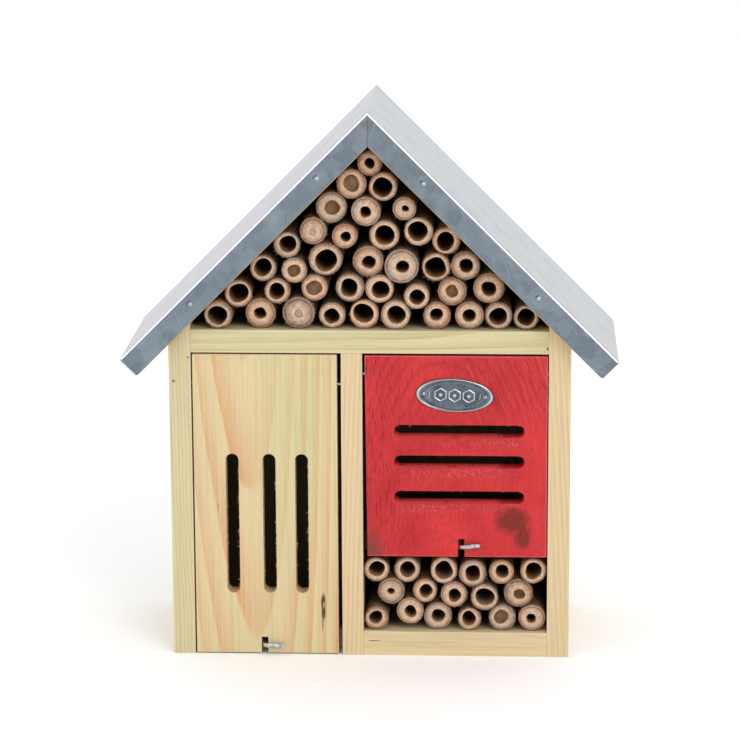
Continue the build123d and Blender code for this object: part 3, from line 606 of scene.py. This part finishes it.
def read_cane(points):
    """A cane's axis, size and bore, from the points of its plain solid. A solid rod's points all
    lie near its skin, and its bore is 0."""
    low, high = points.min(axis=0), points.max(axis=0)
    x, z = (low[0] + high[0]) / 2, (low[2] + high[2]) / 2
    radius = (high[0] - low[0]) / 2
    cane = {"x": x, "z": z, "front": low[1], "back": high[1], "radius": radius, "bore": 0.0, "depth": 0.0}
    reach = np.hypot(points[:, 0] - x, points[:, 2] - z)
    least = reach.min()
    if least <= radius - 1.0:
        cane["bore"] = least
        cane["depth"] = points[reach < least + 0.1][:, 1].max() - low[1]
    return cane


# Points round a cane.
CANE_SIDES = 60


def cane_outlines(cane, around, phases, draw):
    """The outer and the bore's outline, as radii, and how far the bore lies off the middle. Both
    are circles with small harmonics: the second, third and eleventh of the outer one, and the
    second, third and fourth of the bore's. A closed cane has only its pith's shallow pit."""
    press = draw.uniform(0.005, 0.03)
    outer = cane["radius"] * (1 - press * (1 + np.cos(2 * around + phases[0])) / 2)
    outer -= 0.1 * (1 + np.cos(3 * around + phases[1])) / 2 + 0.035 * (1 + np.cos(11 * around + phases[2]))
    bore = cane["bore"] * 1.08 if cane["bore"] > 0 else draw.uniform(1.1, 2.0)
    oval, lump = draw.uniform(0.0, 0.08), draw.uniform(0.0, 0.04)
    inner = 1 + oval * np.cos(2 * around + phases[3]) + lump * np.cos(3 * around + phases[4])
    inner = bore * (inner + draw.uniform(0.0, 0.03) * np.cos(4 * around + phases[5]))
    room = max(cane["radius"] - bore - 1.2, 0.0)
    shift = draw.uniform(-0.45, 0.45, 2) * min(room, 1.3)
    return outer, inner, shift


def cane_profile(cane, draw):
    """The line that a cane is turned from, as three columns: the share of the outer outline, the
    share of the bore's outline, and the depth behind the front."""
    long = cane["back"] - cane["front"]
    hollow = cane["bore"] > 0
    depth = cane["depth"] if hollow else draw.uniform(0.25, 0.5)
    skin = np.linspace(long - 0.5, 1.5, 14)
    face = np.array([0.93, 0.87, 0.83, 0.79, 0.75, 0.7, 0.55, 0.4, 0.25, 0.07])
    down = np.linspace(0.08, 1.0, 9) ** 1.6 * (depth - 0.7) + 0.5
    profile = [(0.5, 0.0, long), (0.96, 0.0, long)]
    profile += [(1.0, 0.0, y) for y in skin]
    profile += [(1.0, 0.0, 1.1), (0.993, 0.0, 0.8), (0.975, 0.0, 0.58)]
    groove = 0.1 * np.exp(-(((face - 0.79) / 0.06) ** 2))
    worn = 0.03 + 0.36 * ((face - 0.5).clip(0) / 0.5) ** 1.9
    profile += list(zip(face, 1 - face, groove + worn))
    profile += [(0.0, 1.0, 0.18), (0.0, 0.985, 0.4)]
    if hollow:
        profile += [(0.0, 0.98, y) for y in down]
        profile += [(0.0, 0.8, depth - 0.05), (0.0, 0.4, depth - 0.5)]
    else:
        profile += [(0.0, 0.7, 0.45)]
    return np.array(profile)


def cane_skin(cane, draw):
    """One closed cane. Its profile runs from the middle of its back, out and forward along the
    skin, over the sawn end and down the bore; each point of it becomes a ring, whose radius is
    the point's share of the outer outline plus its share of the bore's."""
    around = np.linspace(0, FULL_TURN, CANE_SIDES, endpoint=False)
    unit = np.stack([np.cos(around), np.sin(around)], axis=-1)
    phases = draw.uniform(0, FULL_TURN, 6)
    outer, inner, shift = cane_outlines(cane, around, phases, draw)
    table = cane_profile(cane, draw)
    outward, inward, behind = (column[:, None] for column in table.T)
    across = outward * outer + inward * inner
    ring = across[..., None] * unit + (1 - outward.clip(0, 1))[..., None] * shift * (inward > 0)[..., None]

    # The saw ran a little off square, left low waves on the end and chipped its rim.
    tilt = draw.normal(0, 0.035, 2).clip(-0.07, 0.07)
    lean = ring @ tilt + cane["radius"] * np.abs(tilt).sum()
    near = np.clip(1 - behind / 3.0, 0, 1)
    waves = 0.05 * np.sin(5 * around + phases[1]) * np.sin(3 * across + phases[2]) + 0.05
    chips = 0.22 * np.clip(np.sin(7 * around + phases[0]) + np.sin(12 * around + phases[4]) - 0.7, 0, 1)
    chipped = chips * np.exp(-(((outward - 0.97) / 0.06) ** 2)) * (behind < 1.0)
    y = cane["front"] + behind + chipped + near * (lean + waves * (inward > 0))
    points = np.stack([cane["x"] + ring[..., 0], y, cane["z"] + ring[..., 1]], axis=-1)

    hollow = cane["bore"] > 0
    floor_y = y[-1].mean() - (0.15 if hollow else 0.05)
    floor = np.array([cane["x"] + shift[0], floor_y, cane["z"] + shift[1]])
    back = np.array([cane["x"], cane["back"], cane["z"]])
    points = np.concatenate([[back, floor], points.reshape(-1, 3)])

    kind = np.where(inward > 0, np.where((outward > 0) | (not hollow), 1.0, 2.0), 0.0)
    in_bore = np.clip(behind / 40.0, 0, 1) if hollow else np.where(inward > 0.9, 0.8, 0.5)
    travel = np.where(outward > 0, outward, in_bore)
    zone = np.concatenate([[0.0, kind[-1, 0]], np.repeat(kind, CANE_SIDES)])
    reach = np.concatenate([[1.0, travel[-1, 0]], np.repeat(travel, CANE_SIDES)])
    return points, len(table), zone, reach, (outer, around)


def strands(roots, ways, bends, lengths, widths, steps=4):
    """Closed, tapered fibres of three sides. Each runs from its root along its way and bends;
    its width falls to nothing at its tip. Returns points, faces and the share of the length."""
    along = np.linspace(0, 0.92, steps)
    count = len(roots)
    spine = roots[:, None] + along[:, None] * (ways * lengths[:, None])[:, None]
    spine = spine + (along**2)[:, None] * (bends * lengths[:, None])[:, None]
    tips = roots + (ways + bends) * lengths[:, None]
    side = np.cross(ways, bends + np.array([0.11, 0.07, 0.13]))
    side /= np.linalg.norm(side, axis=1, keepdims=True)
    other = np.cross(ways, side)
    other /= np.linalg.norm(other, axis=1, keepdims=True)
    turn = np.arange(3) * FULL_TURN / 3
    circle = np.cos(turn)[:, None] * side[:, None] + np.sin(turn)[:, None] * other[:, None]
    taper = (1 - along**1.5)[:, None, None] * (widths / 2)[:, None, None, None]
    rings = spine[:, :, None] + circle[:, None] * taper
    points = np.concatenate([roots[:, None], tips[:, None], rings.reshape(count, -1, 3)], axis=1)
    size = points.shape[1]
    pattern = capped_grid(steps, 3, 0)
    starts = np.arange(count)[:, None, None] * size
    faces = [(part[None] + starts).reshape(-1, part.shape[1]) for part in pattern]
    share = np.concatenate([[0.0, 1.0], np.repeat(along, 3)])
    return points.reshape(-1, 3), faces, np.tile(share, count)


def rim_fibres(cane, outer, around, draw):
    """Fibres that stand out from the rim of a sawn cane, thick on one stretch of it."""
    count = int(draw.choice([14, 24, 40, 70], p=[0.3, 0.3, 0.25, 0.15]))
    middle = draw.uniform(0, FULL_TURN)
    turn = middle + draw.normal(0, 1.3, count)
    out = np.stack([np.cos(turn), np.zeros(count), np.sin(turn)], axis=-1)
    side = np.stack([-np.sin(turn), np.zeros(count), np.cos(turn)], axis=-1)
    edge = np.interp(turn % FULL_TURN, around, outer, period=FULL_TURN) * 0.985
    start = np.array([cane["x"], cane["front"] + 0.75, cane["z"]])
    roots = start + out * edge[:, None]
    forward = np.array([0.0, -1.0, 0.0])
    ways = out * draw.uniform(0.1, 0.9, count)[:, None] + forward * draw.uniform(0.2, 0.9, count)[:, None]
    ways = ways + side * draw.normal(0, 0.5, count)[:, None]
    ways /= np.linalg.norm(ways, axis=1, keepdims=True)
    bends = draw.normal(0, 0.35, (count, 3))
    lengths = draw.uniform(0.4, 1.2, count)
    return roots, ways, bends, lengths, draw.uniform(0.14, 0.3, count)


bamboo = cane_finish()
cane_fibre = fibre_finish("cane_fibre", "8A6A4C", "CDB592")


def make_canes(node, draw):
    """The canes of one node as one piece, and the fibres on their rims as another."""
    points, faces, fibres = [], [], []
    values = {"zone": [], "reach": [], "tone": [], "warmth": []}
    start = 0
    for solid in solids_in(node):
        cane = read_cane(solid)
        skin, rings, zone, reach, (outer, around) = cane_skin(cane, draw)
        points.append(skin)
        faces += capped_grid(rings, CANE_SIDES, start)
        start += len(skin)
        values["zone"].append(zone)
        values["reach"].append(reach)
        values["tone"].append(np.full(len(skin), draw.uniform(0.0, 1.0)))
        values["warmth"].append(np.full(len(skin), draw.uniform(0.0, 1.0)))
        fibres.append(rim_fibres(cane, outer, around, draw))
    values = {name: np.concatenate(parts) for name, parts in values.items()}
    canes = make_piece(f"{node}_cut_canes", np.concatenate(points), faces, bamboo, values)
    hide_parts(node)
    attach(canes, "house")
    hairs, hair_faces, share = strands(*(np.concatenate(column) for column in zip(*fibres)))
    fuzz = make_piece(f"{node}_fibres", hairs, hair_faces, cane_fibre, {"reach": share})
    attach(fuzz, "house")


cane_nodes = sorted(name for name in nodes if "canes" in name)
for number, name in enumerate(cane_nodes):
    make_canes(name, np.random.default_rng(40 + number))


def slot_splinters(name, boxes, upright, finish, body, draw):
    """Torn fibres along the long edges and at the foot of a door's slots."""
    columns = []
    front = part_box(body)[0][1] / MM
    long_axis, short_axis = (2, 0) if upright else (0, 2)
    count = 60
    for low, high in boxes:
        edge = draw.choice([-1.0, 1.0], count)
        if not upright:
            edge = np.where(draw.random(count) < 0.75, -1.0, 1.0)
        middle = (low + high) / 2
        half = (high - low) / 2
        roots = np.zeros((count, 3))
        roots[:, 1] = front + draw.uniform(0.2, 1.0, count)
        roots[:, long_axis] = draw.uniform(low[long_axis] - 3, high[long_axis] + 3, count)
        roots[:, short_axis] = middle[short_axis] + edge * (half[short_axis] + 0.12)
        ways = draw.normal(0, 0.25, (count, 3))
        ways[:, short_axis] -= edge * draw.uniform(0.35, 1.0, count)
        ways[:, long_axis] += draw.choice([-1.0, 1.0], count) * draw.uniform(0.3, 1.2, count)
        ways /= np.linalg.norm(ways, axis=1, keepdims=True)
        bends = draw.normal(0, 0.3, (count, 3))
        lengths = draw.uniform(0.5, 1.5, count)
        columns.append((roots, ways, bends, lengths, draw.uniform(0.25, 0.6, count)))
    hairs, faces, share = strands(*(np.concatenate(column) for column in zip(*columns)))
    piece = make_piece(name, hairs, faces, finish, {"reach": share})
    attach(piece, body)


pine_fibre = fibre_finish("pine_fibre", "B5AA78", "D8D0A8")
stained_fibre = fibre_finish("stained_fibre", "86191F", "D9877C")
left_slots = slot_boxes("left_door_slot")
red_slots = slot_boxes("red_door_slot")
left_draw = np.random.default_rng(71)
red_draw = np.random.default_rng(72)
slot_splinters("left_door_slot_fibres", left_slots, True, pine_fibre, "left_door", left_draw)
slot_splinters("red_door_slot_fibres", red_slots, False, stained_fibre, "red_door", red_draw)


# The plate's tilt and grid, and its hexagons' spacing and half width.
PLATE_TILT = math.radians(-3.0)
PLATE_RINGS = 84
PLATE_SIDES = 320
HEXAGON_PITCH = 7.0
HEXAGON_SIZE = 2.75


def ridge_line(distance, width):
    """A rounded ridge: 1 where the distance is 0, falling off over a width."""
    return np.exp(-((distance / width) ** 2))


def plate_relief(x, z, from_edge, around):
    """The height of the plate's front and how far each point stands out, from 0 to 1. The height
    is a flat field, a rolled rim, a ring of small beads inside the rim, and the raised outlines
    of three hexagons side by side with a boss in each and a short bar at either end."""
    rim = ridge_line(from_edge - 0.5, 0.3)
    slope = np.clip(1.0 - (from_edge - 0.5) / 1.5, 0.0, 1.0) * (from_edge > 0.5)
    beads = ridge_line(from_edge - 2.3, 0.17) * (0.5 + 0.5 * np.cos(64 * around))
    lines = np.zeros_like(x)
    boss = np.zeros_like(x)
    for step in (-1, 0, 1):
        dx = x - step * HEXAGON_PITCH
        apothem = np.zeros_like(x)
        for facing in np.radians((0.0, 60.0, 120.0)):
            apothem = np.maximum(apothem, np.abs(dx * math.cos(facing) + z * math.sin(facing)))
        lines = np.maximum(lines, ridge_line(apothem - HEXAGON_SIZE, 0.24))
        boss = np.maximum(boss, np.exp(-((dx**2 + z**2) / 0.7)))
    bars = ridge_line(np.abs(x) - 12.6, 0.22) * (np.abs(z) < 1.9)
    height = 0.52 + 0.3 * rim + 0.36 * slope**1.5 + 0.12 * beads + 0.26 * lines + 0.3 * boss + 0.12 * bars
    height = height * np.clip(from_edge / 0.16, 0.0, 1.0) ** 0.5
    raised = np.maximum.reduce([rim * 0.75, slope * 0.35, beads * 0.6, lines, boss, bars * 0.7])
    return height, np.clip(raised, 0, 1)


def oval_plate():
    """The pressed plate as one closed surface: its front is a height over an oval, given by a
    share of its radius and an angle, and its back is flat. The oval is tilted, so its half width
    and half height come from the box of the plain plate, which is the box of a tilted oval."""
    low, high = (np.array(corner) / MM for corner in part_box("door_plate"))
    wide, tall = (high[0] - low[0]) / 2, (high[2] - low[2]) / 2
    cosine, sine = math.cos(PLATE_TILT) ** 2, math.sin(PLATE_TILT) ** 2
    half_width = math.sqrt((wide**2 * cosine - tall**2 * sine) / (cosine**2 - sine**2))
    half_height = math.sqrt((tall**2 * cosine - wide**2 * sine) / (cosine**2 - sine**2))
    share = np.linspace(1.0 / PLATE_RINGS, 1.0, PLATE_RINGS)[:, None]
    around = np.linspace(0, FULL_TURN, PLATE_SIDES, endpoint=False)
    x = share * half_width * np.cos(around)
    z = share * half_height * np.sin(around)
    height, raised = plate_relief(x, z, (1 - share) * half_height + 0 * around, around)

    under = np.array([1.0, 0.5])[:, None]
    x = np.concatenate([x, under * half_width * np.cos(around)])
    z = np.concatenate([z, under * half_height * np.sin(around)])
    flat_back = np.zeros((len(under), PLATE_SIDES))
    height = np.concatenate([height, flat_back])
    raised = np.concatenate([raised, flat_back])
    grid = np.stack([x, height, z], axis=-1).reshape(-1, 3)
    poles = np.array([[0.0, height[0].mean(), 0.0], [0.0, 0.0, 0.0]])
    flat = np.concatenate([poles, grid])
    middle = (low + high) / 2
    turned_x = flat[:, 0] * math.cos(PLATE_TILT) - flat[:, 2] * math.sin(PLATE_TILT)
    turned_z = flat[:, 0] * math.sin(PLATE_TILT) + flat[:, 2] * math.cos(PLATE_TILT)
    points = np.stack([middle[0] + turned_x, high[1] - flat[:, 1], middle[2] + turned_z], axis=-1)
    relief = {"relief": np.concatenate([[raised[0].mean(), 0.0], raised.reshape(-1)])}
    faces = capped_grid(PLATE_RINGS + len(under), PLATE_SIDES, 0)
    piece = make_piece("pressed_oval_plate", points, faces, pressed_plate(), relief)
    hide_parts("door_plate")
    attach(piece, "red_door")


oval_plate()


# ------------------------------------------------------- finishes on the frame
def dress(finish, *names):
    """Gives CAD nodes a finish, through their objects' material slots."""
    for name in names:
        for slot in nodes[name].material_slots:
            slot.material = finish.material


def mark(node, from_low, size, code, strength=0.9):
    """A knot, crack or stain on the front of a node, placed from the node's lowest corner."""
    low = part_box(node)[0] / MM
    return ((low[0] + from_low[0], low[1], low[2] + from_low[1]), (size[0], 4.0, size[1]), code, strength)


def board(node, along, pith, lean, tones, ring, contrast, **options):
    """Gives a board its own timber finish."""
    dress(timber(f"{node}_finish", node, along, pith, lean, tones, ring, contrast, **options), node)


X, Y, Z = range(3)
wall_knots = [
    mark("left_wall", (2.4, 142.0), (0.9, 0.9), "6B5A3A"),
    mark("left_wall", (9.8, 154.0), (0.6, 0.6), "5C4A30"),
]
lintel_knot = [mark("lintel", (177.2, 3.0), (0.6, 1.0), "55442C")]
floor_crack = [mark("right_floor", (5.6, 7.6), (3.6, 0.28), "4A3A26")]
# A near-black mark at the left end of the shelf's front.
shelf_end_dark = [mark("red_door_shelf", (0.0, 5.5), (3.6, 9.0), "1E1912", 0.92)]
door_marks = [
    mark("left_door", (64.5, 24.5), (1.3, 8.6), "4E2E16", 0.95),
    mark("left_door", (64.7, 25.6), (0.5, 1.9), "C9A070", 0.9),
    mark("left_door", (64.0, 16.6), (0.45, 5.0), "7A5230", 0.7),
    mark("left_door", (12.0, 76.5), (0.4, 2.6), "A06A44", 0.7),
]
board("left_wall", Z, (90.0, 30.0), (0.01, 0.02), PINE, 4.4, 0.9, marks=wall_knots)
board("right_wall", Z, (-70.0, 46.0), (0.02, -0.03), WARM_PINE, 4.6, 0.65)
board("divider", Z, (60.0, -58.0), (-0.03, 0.04), WARM_PINE, 4.8, 0.75)
board("lintel", X, (-60.0, 8.0), (0.02, 0.015), PINE, 3.2, 0.85, marks=lintel_knot)
board("right_floor", X, (50.0, 24.0), (0.02, 0.01), WARM_PINE, 3.0, 0.35, marks=floor_crack)
board("left_floor", X, (50.0, 20.0), (0.02, 0.01), PINE, 4.2, 0.5)
board("red_door_shelf", X, (40.0, 20.0), (0.02, 0.01), PINE, 3.8, 0.5, marks=shelf_end_dark)
board("left_roof_board", Y, (30.0, -30.0), (0.0, 0.02), ROOF_PINE, 4.4, 0.7, sheltered=False)
board("right_roof_board", Y, (-30.0, -30.0), (0.0, -0.02), ROOF_PINE, 4.4, 0.7, sheltered=False)
board("back_panel", Z, (12.0, -44.0), (0.03, 0.16), PLYWOOD, 11.0, 0.75, wave=9.0)
door_options = {"marks": door_marks, "wave": 2.4, "sheltered": False}
board("left_door", Z, (-7.5, 22.9), (0.03, 0.078), DOOR_PINE, 8.4, 1.1, **door_options)
dress(red_stain(), "red_door")
dress(galvanised(), "roof_sheet")
fixings = [name for name in nodes if "nails" in name or "screws" in name]
dress(bright_metal("zinc_wire", "9DA3A9", "ECEEF0", 0.16, 0.6), "left_hook", "red_hook")
dress(bright_metal("nail_steel", "9FA5AA", "C9CCCF", 0.25), *fixings)
dress(bright_metal("zinc_plate", "A9ADB2", "C6C8CA", 0.3, 4.0), "hanger_plate")
dress(bright_metal("plate_pin_metal", "8F979E", "D0D4D7", 0.2), "door_plate_pins")


# --------------------------------------------------------- floor, light, camera
def make_floor():
    """A pale floor with a faint tooth, well wider than the view."""
    finish = Finish("pale_floor", Specular_IOR_Level=0.1)
    place = finish.place()
    tooth = finish.noise(place, 3.0, detail=3.0)
    colour = finish.mix(finish.noise(place, 240.0), (0.95, 0.95, 0.955, 1.0), (0.97, 0.97, 0.98, 1.0))
    finish.coat(colour, 0.8 + tooth * 0.1)
    finish.relief(tooth, 0.02)
    half = 12.0
    corners = [(-half, -half, 0.0), (half, -half, 0.0), (half, half, 0.0), (-half, half, 0.0)]
    mesh = bpy.data.meshes.new("floor")
    mesh.from_pydata(corners, [], [(0, 1, 2, 3)])
    mesh.materials.append(finish.material)
    floor = bpy.data.objects.new("floor", mesh)
    bpy.context.scene.collection.objects.link(floor)


def make_light(name, place, target, size, power):
    """A square soft light that points at a target."""
    lamp = bpy.data.lights.new(name, "AREA")
    lamp.size = size
    lamp.energy = power
    holder = bpy.data.objects.new(name, lamp)
    holder.location = place
    holder.rotation_euler = (Vector(target) - Vector(place)).to_track_quat("-Z", "Y").to_euler()
    bpy.context.scene.collection.objects.link(holder)


def make_world(strength):
    """Even white light from all round."""
    world = bpy.data.worlds.new("studio")
    world.use_nodes = True
    background = world.node_tree.nodes["Background"]
    background.inputs["Color"].default_value = (1.0, 1.0, 1.0, 1.0)
    background.inputs["Strength"].default_value = strength
    bpy.context.scene.world = world


def make_camera(place, pitch, yaw, roll, lens):
    """A camera that looks along +Y, turned to its right by yaw, down by pitch and anticlockwise
    about its own axis by roll."""
    data = bpy.data.cameras.new("camera")
    data.lens = lens
    data.sensor_width = 36.0
    data.clip_start = 0.05
    data.clip_end = 100.0
    camera = bpy.data.objects.new("camera", data)
    ahead = Vector((math.sin(yaw) * math.cos(pitch), math.cos(yaw) * math.cos(pitch), -math.sin(pitch)))
    right = Vector((math.cos(yaw), -math.sin(yaw), 0.0))
    up = right.cross(ahead)
    turned_right = right * math.cos(roll) + up * math.sin(roll)
    turned_up = up * math.cos(roll) - right * math.sin(roll)
    turn = Matrix((turned_right, turned_up, -ahead)).transposed()
    camera.matrix_world = Matrix.Translation(place) @ turn.to_4x4()
    bpy.context.scene.collection.objects.link(camera)
    bpy.context.scene.camera = camera


make_floor()
make_world(1.05)
centre = (0.0, 0.0, 0.13)
make_light("key_light", (0.9, -1.7, 1.5), centre, 1.0, 13.0)
make_light("fill_light", (-1.5, -1.6, 0.9), centre, 1.4, 3.0)
make_camera(
    Vector((0.0742, -1.5199, 0.4904)), math.radians(13.02), math.radians(-2.86), math.radians(-0.28), 148.96
)
bpy.context.scene.view_settings.view_transform = "Standard"
